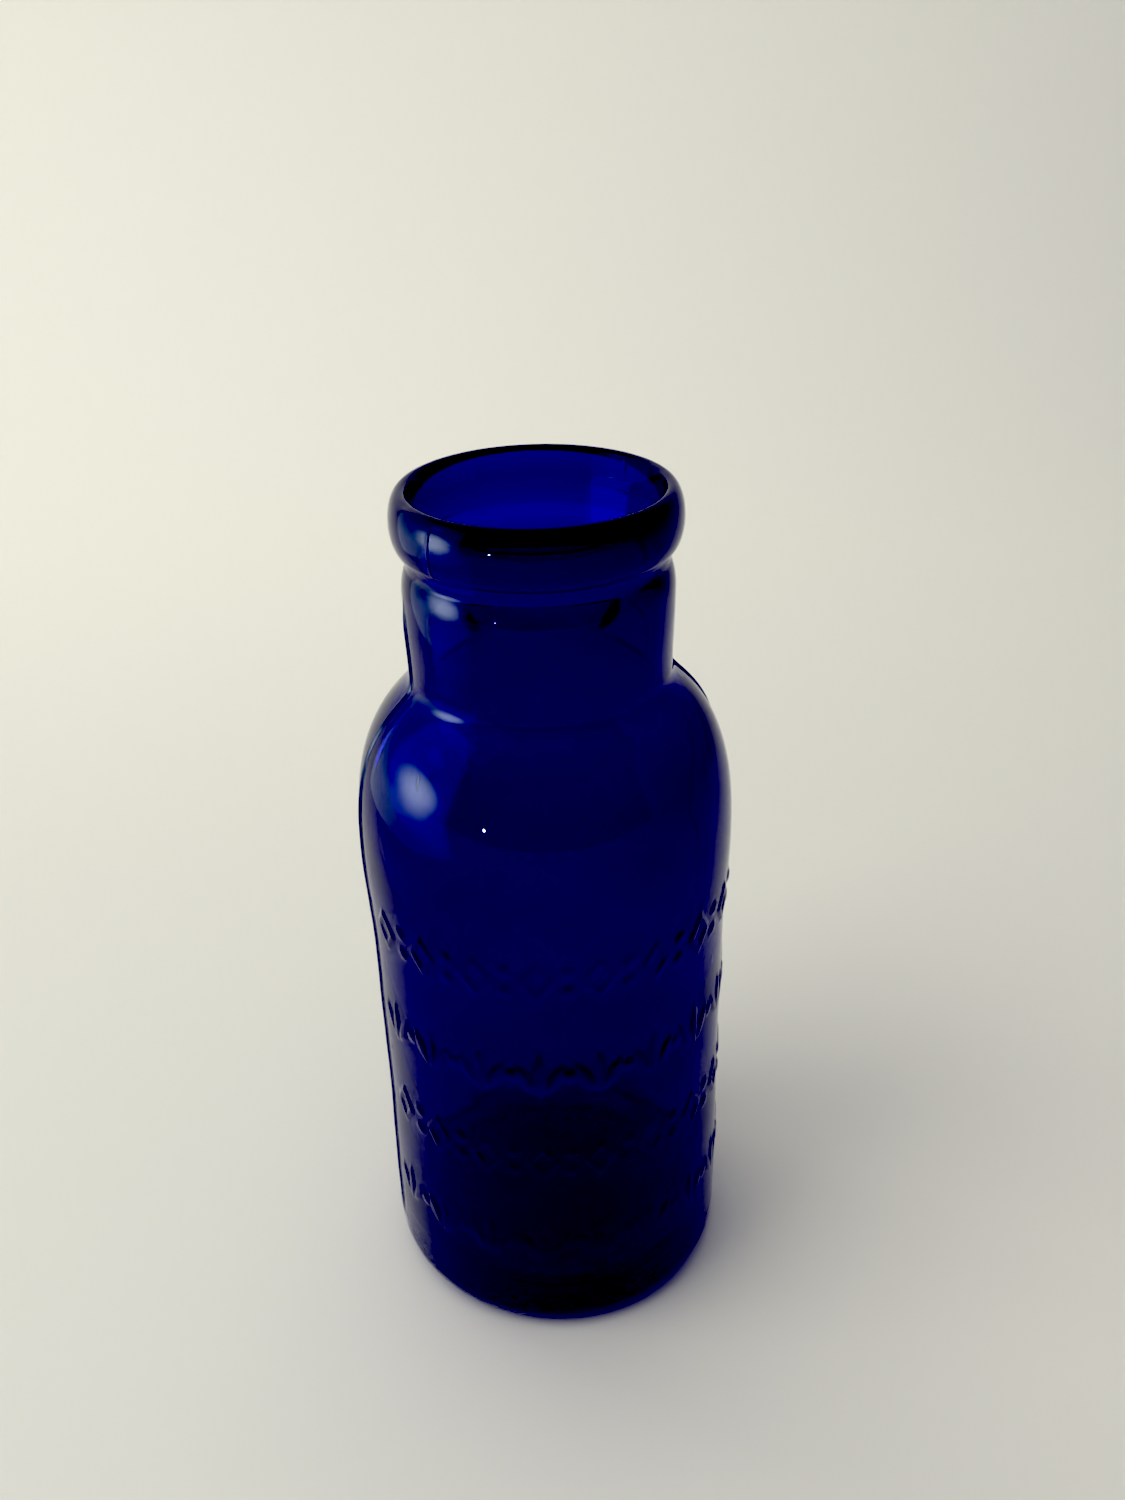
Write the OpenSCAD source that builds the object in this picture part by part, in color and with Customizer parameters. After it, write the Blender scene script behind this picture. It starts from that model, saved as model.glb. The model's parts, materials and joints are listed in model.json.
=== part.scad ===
// Wide-mouth medicine bottle in cobalt glass, with an oval lip bead for a cork.
// The glass is divided at the places where a glassmaker's moulds divide it:
// ring mould (lip_bead, finish_collar), body mould (neck, shoulder, body_wall,
// heel) and base plate (base). Each raised mark of the moulds is a solid too.
// Millimetres. +Z is up, the origin is the middle of the resting ring, and the
// decorated side faces -Y.

/* [Overall] */
// Height from the table to the top of the lip
height = 127; // [124:0.5:132]
// Outside diameter at the waist of the body
body_d = 52; // [50:0.5:56]
// Height of the widest line, where the shoulder starts to turn in
shoulder_z = 77.5; // [75:0.5:79]

/* [Neck and lip] */
// Outside diameter of the neck
neck_d = 35.6; // [34.5:0.1:37]
// Diameter of the bore that takes the cork
bore_d = 30.4; // [29:0.1:31]
// Outside diameter of the lip bead
lip_d = 38; // [37:0.1:40]
// Height of the lip bead
bead_h = 8.2; // [7:0.1:9]
// Rounding of the inner edge of the lip
lip_round = 0.7; // [0.5:0.1:1]
// Height of the flare that opens the bore under the crest of the lip
flare_h = 4.7; // [4:0.1:5.6]

/* [Glass thickness] */
// Body wall at the waist
wall = 2.5; // [2:0.1:3]
// Floor beside the resting ring
floor_t = 5; // [4:0.1:6]

/* [Heel and base] */
// Outside radius of the heel
heel_r = 4.4; // [3.5:0.1:5]
// Inside radius between the wall and the floor
inner_heel_r = 6.5; // [5.5:0.1:6.8]
// Width of the flat ring that the bottle rests on
rest_w = 4.4; // [3:0.1:5]
// Rise of the hollow under the base
push_up = 1.7; // [1:0.1:2.2]

/* [Raised ornament] */
// Height that the ornament stands out of the wall
relief_h = 0.3; // [0.2:0.05:0.5]
// Height of one mark
mark_h = 7; // [6:0.1:8]
// Width of the glass line that a mark is drawn with
stroke = 0.9; // [0.8:0.1:1.2]
// Marks in a row
marks = 9; // [5:2:9]

/* [Mould seams] */
// Height that a seam stands out of the wall
seam_h = 0.26; // [0.16:0.02:0.32]
// Width of a seam
seam_w = 0.7; // [0.5:0.1:1]

/* [Hidden] */
$fn = 96;

glass = [0.02, 0.03, 0.45];
waist_r = body_d / 2;
neck_r = neck_d / 2;
bore_r = bore_d / 2;
lip_r = lip_d / 2;

// The body is a little wider at the heel and at the shoulder than at its waist.
heel_flare = 0.3;
flare_from = 12;
flare_to = 34;
swell = 0.6;
swell_from = shoulder_z - 17;
swell_to = shoulder_z - 1.5;
inner_swell = 0.4;
heel_body_r = waist_r + heel_flare;
swell_r = waist_r + swell;
inner_r = waist_r - wall;

// Heights of the planes between the zones of glass
heel_top = 12;
neck_z = shoulder_z + 24.5;
bead_z = height - bead_h;
collar_z = bead_z - 6.3;

// The neck swells slightly below the finish, and rounds in to a fine ledge
// where the ring mould met the body mould, just under the bead.
neck_swell = 0.2;
collar_r = neck_r + neck_swell;
finish_round = 9;
finish_turn = 25;
ledge_z = bead_z - 1.5;
finish_r = collar_r - finish_round * (1 - cos(finish_turn));
round_z = ledge_z - finish_round * sin(finish_turn);

// How far the two handles of the shoulder's curve reach along the axis
shoulder_reach = 20.5;
neck_reach = 4.5;
inner_shoulder_reach = 20.5;
inner_neck_reach = 5;

// The tooled flare of the mouth: a wide round, then a cone up to the rounding
// at the crest of the lip
flare_tilt = 22;
flare_round = 5;
flare_z = height - flare_h;
cone_h = flare_h - lip_round * (1 - sin(flare_tilt)) - flare_round * sin(flare_tilt);
crest_r = bore_r + flare_round * (1 - cos(flare_tilt)) + cone_h * tan(flare_tilt)
    + lip_round * cos(flare_tilt);

// The outer and the inner edge of the resting ring
rest_r = heel_body_r - heel_r;
push_r = rest_r - rest_w;
floor_crown = 0.6;

// Rows of ornament on the front, from the top, and the arc that they cover
row_z = [68, 51.5, 35.5, 19];
row_arc = 148;
row_step = row_arc / (marks - 1);
mark_w = 4.8;
leaf_w = 1.5;
leaf_lean = 28;
side_leaf = 0.75;
dot_r = 0.9;

// Angles round the axis, counted from +X
front_angle = -90;
lip_seam_angle = -148;
lip_seam_share = 0.5;
heel_seam_from = 20;
heel_seam_to = 27;

function clamp01(t) = min(1, max(0, t));
function smooth(t) = let (u = clamp01(t)) u * u * (3 - 2 * u);
function blend(a, b, t) = a + (b - a) * smooth(t);
function steps(a, b, n) = [for (i = [0 : n]) a + (b - a) * i / n];

// Point at t on the curve from p to q whose handles run straight up and down
function s_curve(p, q, up, down, t) =
    let (a = p + [0, up], b = q - [0, down], u = 1 - t)
    u * u * u * p + 3 * u * u * t * a + 3 * u * t * t * b + t * t * t * q;

// Points on a round of radius r about c, from angle a to angle b
function arc(c, r, a, b, n) = [for (t = steps(a, b, n)) c + r * [cos(t), sin(t)]];

// Outside and inside radius of the body between the heel and the shoulder
function out_r(z) = waist_r
    + heel_flare * (1 - smooth((z - flare_from) / (flare_to - flare_from)))
    + swell * smooth((z - swell_from) / (swell_to - swell_from));
function in_r(z) = inner_r
    + inner_swell * smooth((z - swell_from) / (swell_to - swell_from));

// Outlines of the outside as [radius, height], each from the bottom up
function heel_line() = concat(
    arc([rest_r, heel_r], heel_r, -90, 0, 12),
    [[heel_body_r, heel_top]]);
function body_line(a, b, n) = [for (z = steps(a, b, n)) [out_r(z), z]];
function shoulder_line() = [for (t = steps(0, 1, 24))
    s_curve([swell_r, shoulder_z], [neck_r, neck_z], shoulder_reach, neck_reach, t)];
function neck_line() = [for (z = steps(neck_z, collar_z, 8))
    [blend(neck_r, collar_r, (z - neck_z) / (collar_z - neck_z)), z]];
function collar_line() = concat(
    arc([collar_r - finish_round, round_z], finish_round, 0, finish_turn, 6),
    [[finish_r, bead_z]]);

// The lip bead is half an oval outside, and flares inside.
function bead_line() = [for (t = steps(-90, 90, 24))
    [crest_r + (lip_r - crest_r) * cos(t), bead_z + bead_h / 2 * (1 + sin(t))]];
function flare_line() = concat(
    arc([crest_r, height - lip_round], lip_round, 90, 180 - flare_tilt, 8),
    arc([bore_r + flare_round, flare_z], flare_round, 180 - flare_tilt, 180, 6));

// Outlines of the inside, each from the top down
function shoulder_inside() = [for (t = steps(1, 0, 24))
    s_curve([inner_r + inner_swell, shoulder_z], [bore_r, neck_z],
            inner_shoulder_reach, inner_neck_reach, t)];
function body_inside() = [for (z = steps(shoulder_z, heel_top, 16)) [in_r(z), z]];
function heel_inside() = concat(
    [[inner_r, heel_top]],
    arc([inner_r - inner_heel_r, floor_t + inner_heel_r], inner_heel_r, 0, -90, 10),
    [[push_r, floor_t]]);

// A line pushed out of the wall by d
function raised(line, d) = [for (p = line) p + [d, 0]];
function reversed(line) = [for (i = [len(line) - 1 : -1 : 0]) line[i]];

module ring(outside, inside) {
    rotate_extrude() polygon(concat(outside, inside));
}

// A thin rib that stands on the outside along one line, at one angle
module rib(line, angle, width, tall) {
    half = width / 2 / waist_r * 180 / PI;
    rotate([0, 0, angle - half])
        rotate_extrude(angle = 2 * half)
            polygon(concat(line, reversed(raised(line, tall))));
}

module lip_bead() {
    color(glass) ring(bead_line(), concat(flare_line(), [[bore_r, bead_z]]));
}

// The ring mould's two seams, softened by the flame to a share of the height
// of the others
module lip_seams() {
    line = [for (t = steps(-70, 60, 16))
        [crest_r + (lip_r - crest_r) * cos(t), bead_z + bead_h / 2 * (1 + sin(t))]];
    color(glass)
        for (side = [0, 180])
            rib(line, lip_seam_angle + side, seam_w, seam_h * lip_seam_share);
}

module finish_collar() {
    color(glass) ring(concat([[collar_r, collar_z]], collar_line()),
                      [[bore_r, bead_z], [bore_r, collar_z]]);
}

module neck() {
    color(glass) ring(neck_line(), [[bore_r, collar_z], [bore_r, neck_z]]);
}

module shoulder() {
    color(glass) ring(shoulder_line(), shoulder_inside());
}

module body_wall() {
    color(glass) ring(body_line(heel_top, shoulder_z, 24), body_inside());
}

module heel() {
    color(glass) ring(heel_line(), concat(heel_inside(), [[push_r, 0]]));
}

// The floor, hollowed underneath and crowned a little inside
module base() {
    under = [for (t = steps(0, 1, 12)) [push_r * t, push_up * (1 - t * t)]];
    over = [for (t = steps(1, 0, 12)) [push_r * t, floor_t + floor_crown * (1 - t * t)]];
    color(glass) rotate_extrude() polygon(concat(under, over));
}

// The line that the base plate leaves round the heel
module heel_seam() {
    inner = arc([rest_r, heel_r], heel_r, -heel_seam_to, -heel_seam_from, 2);
    outer = arc([rest_r, heel_r], heel_r + seam_h, -heel_seam_from, -heel_seam_to, 2);
    color(glass) rotate_extrude() polygon(concat(inner, outer));
}

// The line that the two halves of the body mould leave, from heel to finish
module side_seam(angle) {
    line = concat(body_line(heel_r + 1, shoulder_z, 26),
                  [for (i = [1 : 24]) shoulder_line()[i]],
                  [for (i = [1 : 8]) neck_line()[i]]);
    color(glass) rib(line, angle, seam_w, seam_h);
}

module seam_left() side_seam(180);
module seam_right() side_seam(0);

// Flat ornaments, drawn upright about their own middle
module lozenge() {
    w = mark_w / 2;
    h = mark_h / 2;
    inset = stroke / sin(atan2(w, h));
    difference() {
        polygon([[w, 0], [0, h], [-w, 0], [0, -h]]);
        polygon([[w - inset * w / h, 0], [0, h - inset],
                 [inset * w / h - w, 0], [0, inset - h]]);
    }
}

module leaf(long) {
    r = (long * long + leaf_w * leaf_w) / (4 * leaf_w);
    intersection() {
        translate([r - leaf_w / 2, 0]) circle(r);
        translate([leaf_w / 2 - r, 0]) circle(r);
    }
}

// One upright leaf with a shorter one leaning out on each side
module sprig() {
    leaf(mark_h);
    for (side = [-1, 1])
        translate([side * mark_w * 0.42, -mark_h * 0.08])
            rotate(-side * leaf_lean) leaf(mark_h * side_leaf);
}

module dot_pair() {
    for (side = [-1, 1])
        translate([0, side * mark_h / 4]) circle(dot_r);
}

// The shell of glass in which one row's marks stand
module relief_band(z) {
    line = body_line(z - mark_h * 0.6, z + mark_h * 0.6, 6);
    rotate_extrude() polygon(concat(line, reversed(raised(line, relief_h))));
}

// Stands a flat ornament on the wall, n degrees round from the front
module place(z, n) {
    rotate([0, 0, front_angle + n])
        translate([waist_r - 2, 0, z])
            rotate([90, 0, 90])
                linear_extrude(5) children();
}

// A row of main ornaments (child 0) with small ones (child 1) between them
module relief_row(z) {
    color(glass)
        intersection() {
            relief_band(z);
            union() {
                for (i = [0 : marks - 1])
                    place(z, (i - (marks - 1) / 2) * row_step) children(0);
                for (i = [0 : marks - 2])
                    place(z, (i - (marks - 2) / 2) * row_step) children(1);
            }
        }
}

module lozenge_row(z) {
    relief_row(z) {
        lozenge();
        dot_pair();
    }
}

module sprig_row(z) {
    relief_row(z) {
        sprig();
        circle(dot_r);
    }
}

lip_bead();
lip_seams();
finish_collar();
neck();
shoulder();
body_wall();
heel();
base();
heel_seam();
seam_left();
seam_right();
lozenge_row(row_z[0]);  // relief_row_1
sprig_row(row_z[1]);  // relief_row_2
lozenge_row(row_z[2]);  // relief_row_3
sprig_row(row_z[3]);  // relief_row_4
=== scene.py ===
import json
import math

import bpy
import numpy as np
from mathutils import Matrix, Vector


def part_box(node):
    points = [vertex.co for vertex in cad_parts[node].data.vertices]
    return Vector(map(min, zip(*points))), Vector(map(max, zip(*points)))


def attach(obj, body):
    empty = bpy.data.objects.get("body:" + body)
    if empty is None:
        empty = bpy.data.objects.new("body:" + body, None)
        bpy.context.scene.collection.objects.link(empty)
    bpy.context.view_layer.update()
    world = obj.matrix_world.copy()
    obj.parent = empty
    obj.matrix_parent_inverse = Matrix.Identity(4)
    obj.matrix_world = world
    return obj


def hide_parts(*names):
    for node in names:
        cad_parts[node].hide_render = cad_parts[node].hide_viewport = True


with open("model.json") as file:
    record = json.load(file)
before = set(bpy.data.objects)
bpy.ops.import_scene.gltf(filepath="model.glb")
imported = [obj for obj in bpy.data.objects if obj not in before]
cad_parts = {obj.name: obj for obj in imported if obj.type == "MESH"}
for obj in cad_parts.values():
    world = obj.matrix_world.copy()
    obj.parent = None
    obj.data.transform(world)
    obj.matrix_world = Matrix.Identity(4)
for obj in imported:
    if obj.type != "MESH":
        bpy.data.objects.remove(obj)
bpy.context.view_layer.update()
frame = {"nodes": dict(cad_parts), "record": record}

MM = 0.001


# ---- Sizes, in millimetres, read from the frame's own zones of glass ----

def reach(node):
    """Outside radius of a round zone of the bottle"""
    return round(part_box(node)[1].x / MM, 1)


def bottom(node):
    return round(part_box(node)[0].z / MM, 1)


def top(node):
    return round(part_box(node)[1].z / MM, 1)


mouth = frame["record"]["mounts"][0]
BORE_R = mouth["dims"]["r_mm"]
LIP_R = reach("lip_bead")
COLLAR_R = reach("finish_collar")
SWELL_R = reach("shoulder")
HEEL_BODY_R = reach("heel")
PUSH_R = reach("base")
HEIGHT = top("lip_bead")
BEAD_Z = bottom("lip_bead")
COLLAR_Z = bottom("finish_collar")
NECK_Z = bottom("neck")
SHOULDER_Z = bottom("shoulder")
HEEL_TOP = top("heel")
CROWN_Z = top("base")

HEEL_FLARE = 0.3
HEEL_FLARE_RISE = 22.0
NECK_TAPER = 0.2
WAIST_R = HEEL_BODY_R - HEEL_FLARE
NECK_R = COLLAR_R - NECK_TAPER
WALL = 2.5
INNER_R = WAIST_R - WALL
INNER_SWELL = 0.4
INNER_SHOULDER_R = INNER_R + INNER_SWELL
SWELL_FROM = 17.0
SWELL_RISE = 15.5
SHOULDER_PULL = 20.5
NECK_PULL = 4.5
INNER_NECK_PULL = 5.0
HEEL_R = 4.4
INNER_HEEL_R = 6.5
FLOOR_CROWN = 0.6
FLOOR_Z = CROWN_Z - FLOOR_CROWN
PUSH_UP = 1.7
LIP_ROUND = 0.7
FLARE_ROUND = 5.0
FLARE_TILT = math.radians(22.0)
FLARE_Z = HEIGHT - 4.7
FINISH_ROUND = 9.0
FINISH_TURN = 25.0
LEDGE_Z = BEAD_Z - 1.5
FILLET = 0.8
BEAD_FROM = -72.0
REST_R = HEEL_BODY_R - HEEL_R
CONE_H = HEIGHT - FLARE_Z - LIP_ROUND * (1 - math.sin(FLARE_TILT)) - FLARE_ROUND * math.sin(FLARE_TILT)
CREST_R = (BORE_R + FLARE_ROUND * (1 - math.cos(FLARE_TILT)) + CONE_H * math.tan(FLARE_TILT)
           + LIP_ROUND * math.cos(FLARE_TILT))
BEAD_H = HEIGHT - BEAD_Z

ROWS = ["relief_row_1", "relief_row_2", "relief_row_3", "relief_row_4"]
MARKS = 9
ROW_ARC = 148.0
MARK_H = 7.0
MARK_W = 4.8
STROKE = 0.85
LEAF_W = 1.5
LEAF_LEAN = 28.0
SIDE_LEAF = 0.75
SIDE_LEAF_OUT = 0.42
SIDE_LEAF_DROP = 0.08
DOT_R = 0.9
RELIEF_H = 0.24
RELIEF_EDGE = 0.24

# The one large bubble as (angle, height, depth, width, length), and how many small ones there are
SHOULDER_SEED = (math.radians(-58.4), 93.2, 0.8, 0.7, 2.6)
SEEDS = 26

SEAM_W = 0.9
SEAM_H = 0.3
LIP_SEAM_W = 0.5
LIP_SEAM_H = 0.09
LIP_SEAM_ANGLE = -58.0


# ---- Outline of the glass, as (radius, height) from under the base, over the lip, to the inside ----

def smooth(t):
    t = np.clip(t, 0.0, 1.0)
    return t * t * (3 - 2 * t)


def spread(start, end, step):
    """Even steps from start to end, about step apart, without the end"""
    count = max(1, round(abs(end - start) / step))
    return [start + (end - start) * i / count for i in range(count)]


def body_radius(z):
    flare = HEEL_FLARE * (1 - smooth((z - HEEL_TOP) / HEEL_FLARE_RISE))
    swell = (SWELL_R - WAIST_R) * smooth((z - SHOULDER_Z + SWELL_FROM) / SWELL_RISE)
    return WAIST_R + flare + swell


def inner_radius(z):
    return INNER_R + (INNER_SHOULDER_R - INNER_R) * smooth((z - SHOULDER_Z + SWELL_FROM) / SWELL_RISE)


def s_curve(low, high, up, down, t):
    """Point at t on a curve whose two handles run straight up and down"""
    u = 1 - t
    a, b = (low[0], low[1] + up), (high[0], high[1] - down)
    return tuple(
        u ** 3 * low[k] + 3 * u * u * t * a[k] + 3 * u * t * t * b[k] + t ** 3 * high[k] for k in (0, 1)
    )


def round_corner(centre, radius, start, end, count):
    angles = np.radians(np.linspace(start, end, count))
    return [(centre[0] + radius * math.cos(a), centre[1] + radius * math.sin(a)) for a in angles]


def row_height(row):
    return (bottom(row) + top(row)) / 2


def body_heights():
    """Close together across each row of ornament, and wider apart between them"""
    fine, coarse, margin = 0.38, 1.8, 0.5
    bands = sorted((bottom(r) - margin, top(r) + margin) for r in ROWS)
    heights = []
    z = HEEL_R
    for low, high in bands:
        heights += spread(z, low, coarse)
        heights += spread(low, high, fine)
        z = high
    return heights + spread(z, SHOULDER_Z, coarse)


def outside():
    push = [(PUSH_R * t, PUSH_UP * (1 - t * t)) for t in np.linspace(0.12, 1, 10)[:-1]]
    rest = [(PUSH_R, 0.06), (PUSH_R + 0.4, 0.0), (REST_R - 1.6, 0.0)]
    heel = round_corner((REST_R, HEEL_R), HEEL_R, -90, 0, 15)[:-1]
    body = [(body_radius(z), z) for z in body_heights()]
    shoulder = [
        s_curve((SWELL_R, SHOULDER_Z), (NECK_R, NECK_Z), SHOULDER_PULL, NECK_PULL, t)
        for t in np.linspace(0, 1, 30)[:-1]
    ]
    neck = [
        (NECK_R + (COLLAR_R - NECK_R) * smooth((z - NECK_Z) / (COLLAR_Z - NECK_Z)), z)
        for z in spread(NECK_Z, COLLAR_Z, 1.5)
    ]
    round_z = LEDGE_Z - FINISH_ROUND * math.sin(math.radians(FINISH_TURN))
    collar = round_corner((COLLAR_R - FINISH_ROUND, round_z), FINISH_ROUND, 0, FINISH_TURN, 9)
    bead_w, bead_half = LIP_R - CREST_R, BEAD_H / 2
    bead = [
        (CREST_R + bead_w * math.cos(a), BEAD_Z + bead_half * (1 + math.sin(a)))
        for a in np.radians(np.linspace(BEAD_FROM, 90, 26))
    ]
    below = math.radians(BEAD_FROM)
    lean = math.atan2(bead_w * math.sin(below), bead_half * math.cos(below))
    centre = (bead[0][0] + FILLET * math.cos(lean), bead[0][1] + FILLET * math.sin(lean))
    fillet = round_corner(centre, FILLET, 180, 180 + math.degrees(lean), 8)[:-1]
    return push + rest + heel + body + shoulder + neck + collar + fillet + bead


def inside():
    tilt = math.degrees(FLARE_TILT)
    lip = round_corner((CREST_R, HEIGHT - LIP_ROUND), LIP_ROUND, 98, 180 - tilt, 8)
    cone_r = BORE_R + FLARE_ROUND * (1 - math.cos(FLARE_TILT))
    cone_z = FLARE_Z + FLARE_ROUND * math.sin(FLARE_TILT)
    lip += [(cone_r + CONE_H * t * math.tan(FLARE_TILT), cone_z + CONE_H * t) for t in (0.75, 0.5, 0.25)]
    lip += round_corner((BORE_R + FLARE_ROUND, FLARE_Z), FLARE_ROUND, 180 - tilt, 180, 8)[:-1]
    bore = [(BORE_R, z) for z in spread(FLARE_Z, NECK_Z, 2.6)]
    shoulder = [
        s_curve((INNER_SHOULDER_R, SHOULDER_Z), (BORE_R, NECK_Z), SHOULDER_PULL, INNER_NECK_PULL, t)
        for t in np.linspace(1, 0, 24)[:-1]
    ]
    body = [(inner_radius(z), z) for z in spread(SHOULDER_Z, FLOOR_Z + INNER_HEEL_R, 2.6)]
    heel = round_corner((INNER_R - INNER_HEEL_R, FLOOR_Z + INNER_HEEL_R), INNER_HEEL_R, 0, -90, 12)
    floor = [(PUSH_R * t, FLOOR_Z + FLOOR_CROWN * (1 - t * t)) for t in np.linspace(0.96, 0.1, 8)]
    return lip + bore + shoulder + body + heel + floor


# ---- What stands on the outline: ornament, seams and the waves of hand-made glass ----

def column_angles():
    """Angles round the bottle from the front, closest on the decorated side and at the seams"""
    near, far = LIP_SEAM_ANGLE, LIP_SEAM_ANGLE + 180
    stops = [(-180, 2.0), (-92, 0.25), (-88, 0.75), (near - 2, 0.4), (near + 2, 0.75), (88, 0.25), (92, 2.0),
             (far - 2, 0.5), (far + 2, 2.0), (180, None)]
    angles = []
    for (start, step), (end, _) in zip(stops, stops[1:]):
        angles += spread(start, end, step)
    if len(angles) % 2:
        angles.insert(1, (angles[0] + angles[1]) / 2)
    return np.radians(angles)


def lozenge_gap(x, y):
    """Distance outside the line of a hollow lozenge, and less than nothing within it"""
    w, h = MARK_W / 2, MARK_H / 2
    edge = (np.abs(x) * h + np.abs(y) * w - w * h) / math.hypot(w, h)
    return np.abs(edge + STROKE / 2) - STROKE / 2


def leaf_gap(x, y, lean, length):
    turn = math.radians(lean)
    across = x * math.cos(turn) - y * math.sin(turn)
    along = x * math.sin(turn) + y * math.cos(turn)
    radius = (length ** 2 + LEAF_W ** 2) / (4 * LEAF_W)
    return np.hypot(np.abs(across) + radius - LEAF_W / 2, along) - radius


def sprig_gap(x, y):
    gap = leaf_gap(x, y, 0, MARK_H)
    for side in (-1, 1):
        out, down = x - side * MARK_W * SIDE_LEAF_OUT, y + MARK_H * SIDE_LEAF_DROP
        gap = np.minimum(gap, leaf_gap(out, down, side * LEAF_LEAN, MARK_H * SIDE_LEAF))
    return gap


def dots_gap(x, y):
    return np.hypot(x, np.abs(y) - MARK_H / 4) - DOT_R


def dot_gap(x, y):
    return np.hypot(x, y) - DOT_R


def ornament(angle, z):
    """Height of the raised ornament, with the soft edges of moulded glass"""
    gap = np.full(np.broadcast(angle, z).shape, MARK_H)
    step = math.radians(ROW_ARC / (MARKS - 1))
    for n, row in enumerate(ROWS):
        main, small = (lozenge_gap, dots_gap) if n % 2 == 0 else (sprig_gap, dot_gap)
        y = z - row_height(row)
        if n % 2:
            y = z - bottom(row) - MARK_H / 2
        for i in range(MARKS):
            x = (angle - (i - (MARKS - 1) / 2) * step) * WAIST_R
            gap = np.minimum(gap, main(x, y))
        for i in range(MARKS - 1):
            x = (angle - (i - (MARKS - 2) / 2) * step) * WAIST_R
            gap = np.minimum(gap, small(x, y))
    return RELIEF_H * smooth(0.5 - gap / (2 * RELIEF_EDGE))


def rib(distance, width, height):
    return height * smooth(1 - np.abs(distance) / (width * 0.75))


def seams(angle, radius, z):
    """The body mould's two seams and the ring mould's two on the lip"""
    side = (np.abs(angle) - math.pi / 2) * radius
    high = rib(side, SEAM_W, SEAM_H) * smooth((z - HEEL_R) / 3) * smooth((COLLAR_Z - z) / 2)
    lip_side = np.abs((angle - math.radians(LIP_SEAM_ANGLE)) % math.pi)
    lip_side = np.minimum(lip_side, math.pi - lip_side) * radius
    on_bead = smooth((z - BEAD_Z - 0.4) / 1.2) * smooth((HEIGHT - z - 0.3) / 1.2)
    high = high + rib(lip_side, LIP_SEAM_W, LIP_SEAM_H) * on_bead
    return high


def waves(angle, z, size, phase):
    """Slow swells of glass that cooled by hand, size millimetres high"""
    # Turns round the bottle, turns in a millimetre of height and share of each swell
    swells = [(2, 0.031, 1.0), (3, -0.047, 0.8), (5, 0.083, 0.5), (8, -0.12, 0.28), (13, 0.21, 0.12)]
    total = np.zeros(np.broadcast(angle, z).shape)
    for k, (round_turns, rise, share) in enumerate(swells):
        total += share * np.sin(round_turns * angle + rise * 2 * math.pi * z + phase * (k + 1.7))
    return size * total / sum(share for _, _, share in swells)


# ---- Meshes ----

def outline_normals(points):
    """Unit vectors square to the outline, out of the glass, as (radius, height)"""
    p = np.array(points)
    run = np.gradient(p, axis=0)
    run /= np.linalg.norm(run, axis=1)[:, None]
    return np.stack([run[:, 1], -run[:, 0]], axis=1)


def turned(points, lift, angles):
    """The points spun round the axis at each angle, each raised by its lift out of the glass"""
    p = np.array(points)
    n = outline_normals(points)
    r = p[:, :1] + lift * n[:, :1]
    z = p[:, 1:] + lift * n[:, 1:]
    return np.stack([r * np.sin(angles), -r * np.cos(angles), z], axis=2)


def grid_faces(first, rings, columns):
    faces = []
    for i in range(rings - 1):
        a = first + i * columns
        b = a + columns
        faces += [(a + j, a + (j + 1) % columns, b + (j + 1) % columns, b + j) for j in range(columns)]
    return faces


def joining_faces(a, b, columns):
    """From a ring of twice as many columns to a ring of columns"""
    faces = []
    for j in range(columns):
        k, m = (j + 1) % columns, (2 * j + 2) % (2 * columns)
        faces.append((a + 2 * j, a + 2 * j + 1, b + j))
        faces.append((a + 2 * j + 1, a + m, b + k, b + j))
    return faces


def seeds():
    """Bubbles in the wall as (angle, height, depth, width, length), drawn tall by the blowing"""
    rng = np.random.default_rng(7)
    found = [SHOULDER_SEED]
    for _ in range(SEEDS):
        width = 0.16 + 0.3 * rng.random() ** 3
        angle, z, depth = rng.uniform(-math.pi, math.pi), rng.uniform(14, NECK_Z), rng.uniform(0.7, 1.8)
        found.append((angle, z, depth, width, width * rng.uniform(1.2, 3.5)))
    return found


def seed_mesh(angle, r, z, width, length):
    """Vertices and faces of one bubble, its faces turned towards the air inside it"""
    around, rings = 10, 6
    verts = []
    for i in range(1, rings):
        polar = math.pi * i / rings
        for j in range(around):
            turn = 2 * math.pi * j / around
            girth = width / 2 * math.sin(polar)
            verts.append((girth * math.cos(turn), girth * math.sin(turn), length / 2 * math.cos(polar)))
    verts += [(0, 0, length / 2), (0, 0, -length / 2)]
    high, low, last = len(verts) - 2, len(verts) - 1, (rings - 2) * around
    faces = [(high, (j + 1) % around, j) for j in range(around)]
    for i in range(rings - 2):
        a, b = i * around, (i + 1) * around
        faces += [(a + j, a + (j + 1) % around, b + (j + 1) % around, b + j) for j in range(around)]
    faces += [(low, last + j, last + (j + 1) % around) for j in range(around)]
    out = np.array([math.sin(angle), -math.cos(angle), 0])
    side = np.array([math.cos(angle), math.sin(angle), 0])
    v = np.array(verts)
    return v[:, :1] * out + v[:, 1:2] * side + v[:, 2:] * [0, 0, 1] + out * r + [0, 0, z], faces


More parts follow.
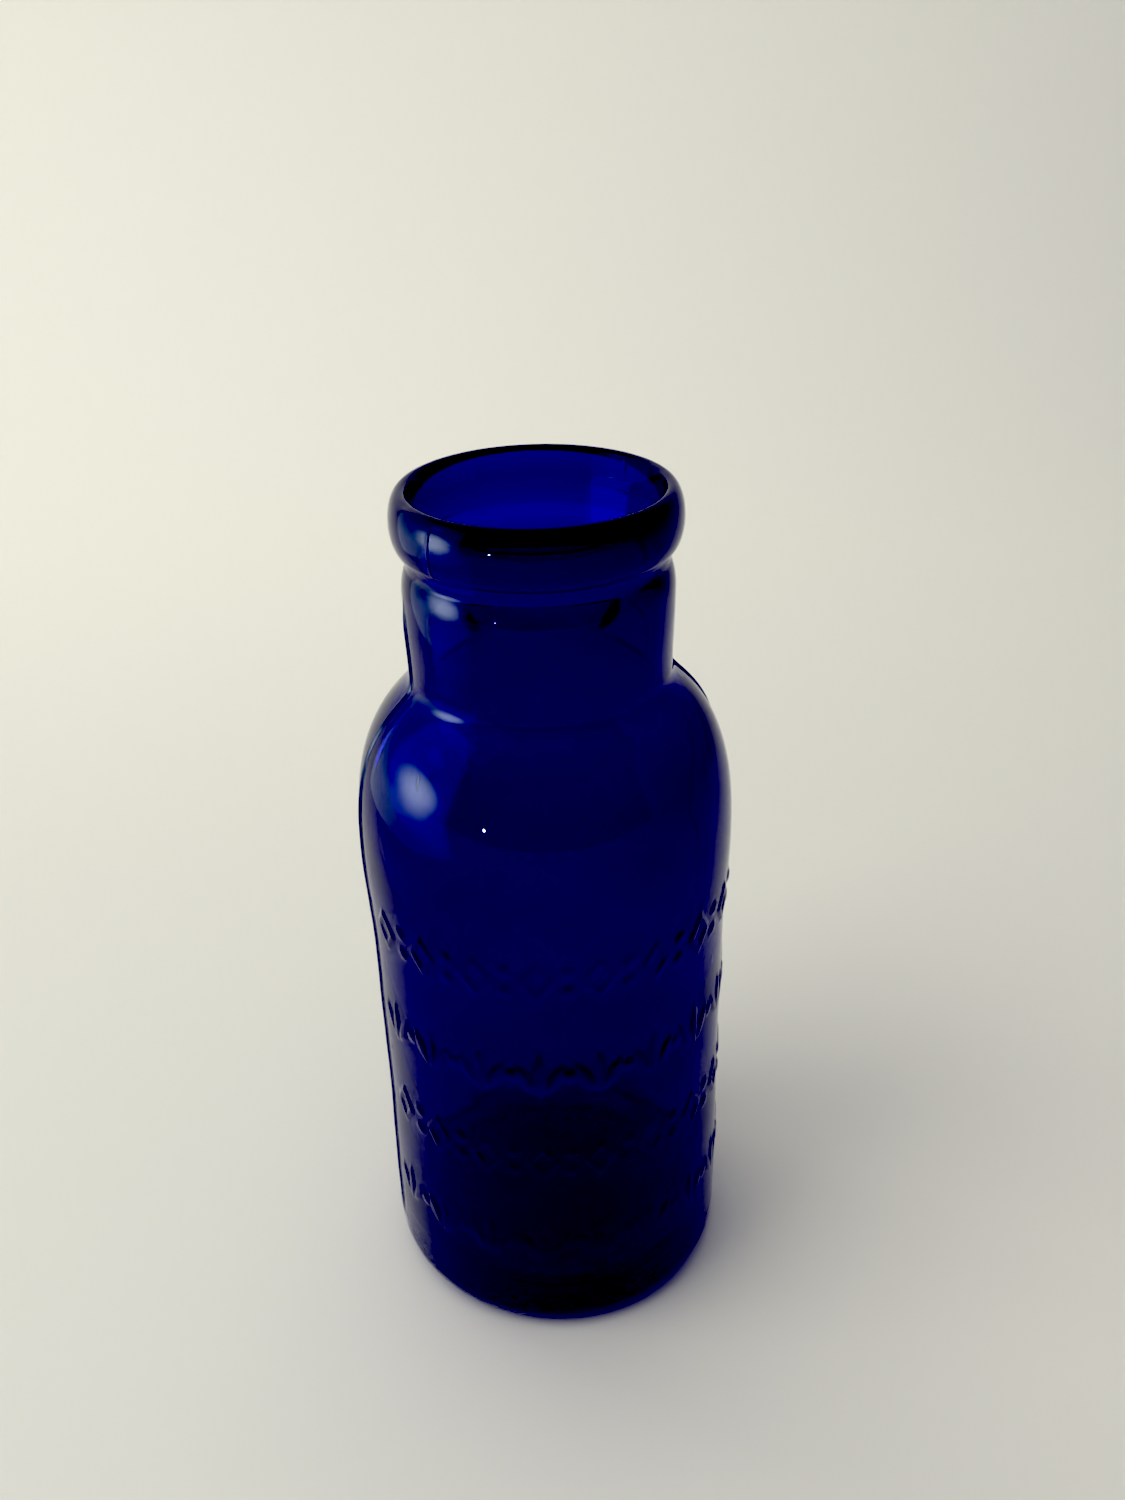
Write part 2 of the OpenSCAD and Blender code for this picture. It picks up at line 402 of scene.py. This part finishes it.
def glass_mesh():
    angles = column_angles()
    outer, inner = outside(), inside()
    a, inner_a = angles[None, :], angles[None, ::2]
    r, z = np.array(outer)[:, :1], np.array(outer)[:, 1:]
    on_wall = smooth((z - 1) / 4) * smooth((COLLAR_Z - z) / 4)
    lift = ornament(a, z) * (z < SHOULDER_Z) + seams(a, r, z)
    lift = lift + waves(a, z, 0.06, 0.4) * on_wall
    inner_z = np.array(inner)[:, 1:]
    below_bore = smooth((NECK_Z - inner_z) / 8)
    inner_lift = waves(inner_a, inner_z, 0.28, 2.1) * below_bore + waves(inner_a, inner_z, 0.03, 5.0)
    over = turned(outer, lift, a)
    under = turned(inner, inner_lift, inner_a)
    columns = len(angles)
    half = columns // 2
    verts = np.concatenate([
        [[0, 0, PUSH_UP]], over.reshape(-1, 3), under.reshape(-1, 3), [[0, 0, FLOOR_Z + FLOOR_CROWN]],
    ])
    first_inner = 1 + over.shape[0] * columns
    last = len(verts) - 1
    faces = [(0, 1 + (j + 1) % columns, 1 + j) for j in range(columns)]
    faces += grid_faces(1, over.shape[0], columns)
    faces += joining_faces(first_inner - columns, first_inner, half)
    faces += grid_faces(first_inner, under.shape[0], half)
    faces += [(last - half + j, last - half + (j + 1) % half, last) for j in range(half)]
    wall = np.array(sorted((z, r) for r, z in outer if z > HEEL_R))
    for angle, z, depth, width, length in seeds():
        bubble_r = np.interp(z, wall[:, 0], wall[:, 1]) - depth
        bubble, bubble_faces = seed_mesh(angle, bubble_r, z, width, length)
        faces += [tuple(k + len(verts) for k in face) for face in bubble_faces]
        verts = np.concatenate([verts, bubble])
    mesh = bpy.data.meshes.new("bottle_glass")
    mesh.from_pydata((verts * MM).tolist(), [], faces)
    mesh.polygons.foreach_set("use_smooth", [True] * len(mesh.polygons))
    mesh.update()
    return mesh


def shown(name, mesh):
    piece = bpy.data.objects.new(name, mesh)
    bpy.context.collection.objects.link(piece)
    return piece


# ---- Materials ----

def linear(hex_colour):
    """A linear colour from an sRGB hex value"""
    parts = [int(hex_colour[i:i + 2], 16) / 255 for i in (1, 3, 5)]
    return tuple(c / 12.92 if c <= 0.04045 else ((c + 0.055) / 1.055) ** 2.4 for c in parts) + (1.0,)


def add(tree, kind, links=None, **settings):
    """A node with its settings, and its inputs set to a value or linked to another node's output"""
    node = tree.nodes.new(kind)
    for name, value in settings.items():
        setattr(node, name, value)
    for name, value in (links or {}).items():
        if isinstance(value, bpy.types.NodeSocket):
            tree.links.new(value, node.inputs[name])
        else:
            node.inputs[name].default_value = value
    return node


def new_material(name):
    material = bpy.data.materials.new(name)
    material.use_nodes = True
    material.node_tree.nodes.clear()
    return material, material.node_tree


def cobalt_bottle_glass():
    """Soda-lime glass coloured with cobalt: it swallows red and green in a few millimetres"""
    material, tree = new_material("cobalt_bottle_glass")
    place = add(tree, "ShaderNodeTexCoord").outputs["Object"]
    skin = add(tree, "ShaderNodeTexNoise", {"Vector": place, "Scale": 1 / (6 * MM), "Detail": 2.0})
    rippled = add(tree, "ShaderNodeBump", {
        "Height": skin.outputs["Fac"], "Strength": 0.05, "Distance": 0.2 * MM,
    })
    drawn = add(tree, "ShaderNodeVectorMath", {0: place, 1: (1.0, 1.0, 0.4)}, operation="MULTIPLY")
    spots = add(tree, "ShaderNodeTexVoronoi", {"Vector": drawn.outputs[0], "Scale": 1 / (5 * MM)})
    blister = add(tree, "ShaderNodeMapRange", {
        "Value": spots.outputs["Distance"], "From Min": 0.09, "From Max": 0.0,
    })
    blistered = add(tree, "ShaderNodeBump", {
        "Height": blister.outputs["Result"], "Strength": 1.0, "Distance": 0.04 * MM,
        "Normal": rippled.outputs["Normal"],
    })
    haze = add(tree, "ShaderNodeTexNoise", {"Vector": place, "Scale": 1 / (9 * MM), "Detail": 6.0})
    film = add(tree, "ShaderNodeMapRange", {
        "Value": haze.outputs["Fac"], "From Min": 0.45, "From Max": 0.8, "To Min": 0.0, "To Max": 0.06,
    })
    height = add(tree, "ShaderNodeSeparateXYZ", {"Vector": place}).outputs["Z"]
    grit = add(tree, "ShaderNodeTexNoise", {"Vector": place, "Scale": 1 / (0.7 * MM), "Detail": 3.0})
    near_table = add(tree, "ShaderNodeMapRange", {"Value": height, "From Min": 1.6 * MM, "From Max": 0.0})
    scuffs = add(tree, "ShaderNodeMapRange", {
        "Value": grit.outputs["Fac"], "From Min": 0.4, "From Max": 0.6, "To Min": 0.1, "To Max": 0.45,
    })
    worn = add(tree, "ShaderNodeMath", {0: near_table.outputs["Result"], 1: scuffs.outputs["Result"]},
               operation="MULTIPLY")
    rough = add(tree, "ShaderNodeMath", {0: film.outputs["Result"], 1: worn.outputs[0]}, operation="MAXIMUM")
    surface = add(tree, "ShaderNodeBsdfPrincipled", {
        "Base Color": (1, 1, 1, 1), "Transmission Weight": 1.0, "IOR": 1.52,
        "Roughness": rough.outputs[0], "Normal": blistered.outputs["Normal"],
    })
    # How much of each colour a metre of the glass takes away
    red, green, blue = 2000.0, 2300.0, 370.0
    density = max(red, green, blue)
    colour = (1 - red / density, 1 - green / density, 1 - blue / density, 1)
    body = add(tree, "ShaderNodeVolumeAbsorption", {"Color": colour, "Density": density})
    add(tree, "ShaderNodeOutputMaterial", {"Surface": surface.outputs[0], "Volume": body.outputs[0]})
    return material


def white_card():
    """Matt white card, a little warm, with the faint tooth of its pulp"""
    material, tree = new_material("white_card")
    place = add(tree, "ShaderNodeTexCoord").outputs["Object"]
    tooth = add(tree, "ShaderNodeTexNoise", {"Vector": place, "Scale": 1 / (1.2 * MM), "Detail": 4.0})
    bump = add(tree, "ShaderNodeBump", {
        "Height": tooth.outputs["Fac"], "Strength": 0.15, "Distance": 0.1 * MM,
    })
    surface = add(tree, "ShaderNodeBsdfPrincipled", {
        "Base Color": linear("#EAEAE1"), "Roughness": 0.75, "Normal": bump.outputs["Normal"],
    })
    add(tree, "ShaderNodeOutputMaterial", {"Surface": surface.outputs[0]})
    return material


# ---- Stage, light and camera ----

# The set is laid out as the camera sees it, and the bottle stands turned a little in it.
SET_TURN = Matrix.Rotation(math.radians(-15.0), 3, "Z")


def card_sweep():
    """The card the bottle stands on, which curves up behind it"""
    bend, back, half_width, front, middle, rise = 220.0, 330.0, 1400.0, -1400.0, -300.0, 900.0
    line = [(front, 0.0), (middle, 0.0), (back, 0.0)]
    angles = np.linspace(0, math.pi / 2, 24)[1:]
    line += [(back + bend * math.sin(a), bend * (1 - math.cos(a))) for a in angles]
    line.append((back + bend, rise))
    verts = [(side * half_width * MM, y * MM, z * MM) for y, z in line for side in (-1, 1)]
    faces = [(2 * i, 2 * i + 1, 2 * i + 3, 2 * i + 2) for i in range(len(line) - 1)]
    mesh = bpy.data.meshes.new("card_sweep")
    mesh.from_pydata([SET_TURN @ Vector(v) for v in verts], [], faces)
    mesh.polygons.foreach_set("use_smooth", [True] * len(mesh.polygons))
    sweep = shown("card_sweep", mesh)
    sweep.data.materials.append(white_card())
    return sweep


def painted_room_shade():
    """A near-black sheet in front of the set that only reflections see: painted shade standing for the unlit
    room, which the glass shows as deep shade and nothing else sees
    """
    half_width = 800.0
    line = [(-420.0, 40.0), (-420.0, 500.0), (-200.0, 760.0), (40.0, 860.0)]
    verts = [(side * half_width * MM, y * MM, z * MM) for y, z in line for side in (-1, 1)]
    faces = [(2 * i, 2 * i + 1, 2 * i + 3, 2 * i + 2) for i in range(len(line) - 1)]
    mesh = bpy.data.meshes.new("painted_room_shade")
    mesh.from_pydata([SET_TURN @ Vector(v) for v in verts], [], faces)
    room = shown("painted_room_shade", mesh)
    material, tree = new_material("painted_shade_sheet")
    # Painted shade: a near-black sheet that only the glass's reflections see
    cloth = add(tree, "ShaderNodeBsdfPrincipled", {"Base Color": (0.01, 0.01, 0.01, 1), "Roughness": 1.0})
    add(tree, "ShaderNodeOutputMaterial", {"Surface": cloth.outputs[0]})
    room.data.materials.append(material)
    room.visible_camera = False
    room.visible_diffuse = False
    room.visible_transmission = False
    room.visible_shadow = False
    return room


def soft_light(name, place, aim, width, height, radiance, colour, seen_by=("diffuse", "transmission")):
    """A lit panel turned towards the point it is aimed at, seen only by the kinds of ray named"""
    lamp = bpy.data.lights.new(name, "AREA")
    lamp.shape = "RECTANGLE"
    lamp.size = width * MM
    lamp.size_y = height * MM
    lamp.energy = radiance * math.pi * lamp.size * lamp.size_y
    lamp.color = linear(colour)[:3]
    light = bpy.data.objects.new(name, lamp)
    light.location = SET_TURN @ (Vector(place) * MM)
    light.rotation_euler = (SET_TURN @ (Vector(aim) - Vector(place))).to_track_quat("-Z", "Y").to_euler()
    light.visible_camera = False
    light.visible_diffuse = "diffuse" in seen_by
    light.visible_glossy = "glossy" in seen_by
    light.visible_transmission = "transmission" in seen_by
    bpy.context.collection.objects.link(light)
    return light


def panel_nodes(light):
    """A panel's emptied nodes, with how far each point lies from its middle both ways, 0.5 at the rim"""
    light.data.use_nodes = True
    tree = light.data.node_tree
    tree.nodes.clear()
    place = add(tree, "ShaderNodeNewGeometry").outputs["Parametric"]
    offset = add(tree, "ShaderNodeVectorMath", {0: place, 1: (0.5, 0.5, 0.0)}, operation="SUBTRACT")
    flat = add(tree, "ShaderNodeVectorMath", {0: offset.outputs[0], 1: (1.0, 1.0, 0.0)}, operation="MULTIPLY")
    apart = add(tree, "ShaderNodeVectorMath", {0: flat.outputs[0]}, operation="ABSOLUTE")
    return tree, apart.outputs[0]


def shine(tree, distance, full, power, one_wall):
    """Fades a panel from full power at one distance from its middle to nothing at its rim"""
    glow = add(tree, "ShaderNodeMapRange", {"Value": distance, "From Min": 0.5, "From Max": full},
               interpolation_type="SMOOTHERSTEP")
    lit = add(tree, "ShaderNodeMath", {0: glow.outputs["Result"], 1: power}, operation="MULTIPLY")
    if one_wall:
        # Two crossings take light into a wall and back out, and light through the whole bottle makes four.
        most_crossings = 2.5
        crossings = add(tree, "ShaderNodeLightPath").outputs["Transmission Depth"]
        near = add(tree, "ShaderNodeMath", {0: crossings, 1: most_crossings}, operation="LESS_THAN")
        lit = add(tree, "ShaderNodeMath", {0: lit.outputs[0], 1: near.outputs[0]}, operation="MULTIPLY")
    emission = add(tree, "ShaderNodeEmission", {"Color": (1, 1, 1, 1), "Strength": lit.outputs[0]})
    add(tree, "ShaderNodeOutputLight", {"Surface": emission.outputs[0]})


def fade_to_rim(light, power, one_wall=False):
    """Makes a panel brightest in its middle, as a lamp behind cloth is"""
    tree, apart = panel_nodes(light)
    away = add(tree, "ShaderNodeVectorMath", {0: apart}, operation="LENGTH")
    shine(tree, away.outputs["Value"], 0.0, power, one_wall)


def soften_edges(light, one_wall=False):
    """Makes a panel even, with edges that fade"""
    tree, apart = panel_nodes(light)
    sides = add(tree, "ShaderNodeSeparateXYZ", {"Vector": apart})
    away = add(tree, "ShaderNodeMath", {0: sides.outputs["X"], 1: sides.outputs["Y"]}, operation="MAXIMUM")
    even_to = 0.38
    shine(tree, away.outputs[0], even_to, 1.0, one_wall)


def studio():
    """A white tent: cloth walls left and above, open at the front"""
    soft_light("key", (-740, -300, 885), (0, 0, 40), 765, 765, 2.4, "#FFFDF8")
    soft_light("roof", (-120, -20, 820), (0, -20, 0), 900, 700, 1.15, "#FFFDF8")
    soft_light("back_fill", (60, 250, 420), (0, 560, 330), 700, 200, 0.7, "#FFFDF8", ("diffuse",))
    soft_light("back_left", (-520, 330, 520), (-380, 560, 420), 260, 260, 3.6, "#FFFDF8", ("diffuse",))
    soft_light("left_wall", (-240, 5, 170), (0, 5, 170), 322, 340, 0.64, "#CCE6FF", ("glossy",))
    cloth = soft_light("cloth_glow", (-239, -30, 125), (0, -30, 125), 420, 320, 0.5, "#C4E4FF", ("glossy",))
    fade_to_rim(cloth, 2.0)
    lamp = soft_light("lamp_behind_cloth", (-238, -50, 115), (0, -50, 115), 220, 165, 2.4, "#E6F0FF",
                      ("glossy",))
    fade_to_rim(lamp, 2.0)
    fold = soft_light("cloth_fold", (-237, -30, 235), (0, -30, 235), 110, 90, 0.7, "#E6F0FF", ("glossy",))
    fade_to_rim(fold, 2.0)
    soft_light("small_lamp", (-240, -356, 102), (0, 0, 102), 13, 13, 34.0, "#F4F8FF", ("glossy",))
    # Cobalt lets its deepest blue through almost freely, so what comes back from the inner face is bluer
    # and stronger than three colour channels can carry: these two stand in for that share.
    blue_wall = soft_light("blue_wall", (-241, -35, 170), (0, -35, 170), 262, 370, 10.0, "#2A50FF",
                           ("transmission",))
    soften_edges(blue_wall, one_wall=True)
    blue_lamp = soft_light("blue_lamp", (-239, -52, 116), (0, -52, 116), 150, 130, 11.0, "#2A50FF",
                           ("transmission",))
    fade_to_rim(blue_lamp, 2.0, one_wall=True)
    world = bpy.data.worlds.new("room")
    world.use_nodes = True
    background = world.node_tree.nodes["Background"]
    background.inputs["Color"].default_value = linear("#D2D1CC")
    background.inputs["Strength"].default_value = 0.5
    bpy.context.scene.world = world
    # The blacks are set deep, so the glass goes to full black in shade.
    tones = bpy.context.scene.view_settings
    tones.view_transform = "Standard"
    tones.use_curve_mapping = True
    tones.curve_mapping.black_level = (0.105, 0.105, 0.029)


def camera():
    """A phone held a hand's breadth off, looking 29 degrees down, tipped a little to one side"""
    place = Vector((2.6, -163.5, 178.9)) * MM
    pitch, roll = math.radians(29.0), math.radians(1.37)
    forward = Vector((0, math.cos(pitch), -math.sin(pitch)))
    up = Vector((0, math.sin(pitch), math.cos(pitch)))
    right = Vector((1, 0, 0))
    tipped_right = right * math.cos(roll) - up * math.sin(roll)
    tipped_up = up * math.cos(roll) + right * math.sin(roll)
    data = bpy.data.cameras.new("camera")
    data.lens = 31.92
    data.clip_start = 0.005
    view = bpy.data.objects.new("camera", data)
    turn = SET_TURN @ Matrix((tipped_right, tipped_up, -forward)).transposed()
    view.matrix_world = Matrix.Translation(SET_TURN @ place) @ turn.to_4x4()
    bpy.context.collection.objects.link(view)
    bpy.context.scene.camera = view


# ---- The bottle on its card ----

camera()
studio()
card_sweep()
painted_room_shade()

bottle = shown("bottle_glass", glass_mesh())
bottle.data.materials.append(cobalt_bottle_glass())
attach(bottle, "root")
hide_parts(*frame["nodes"])
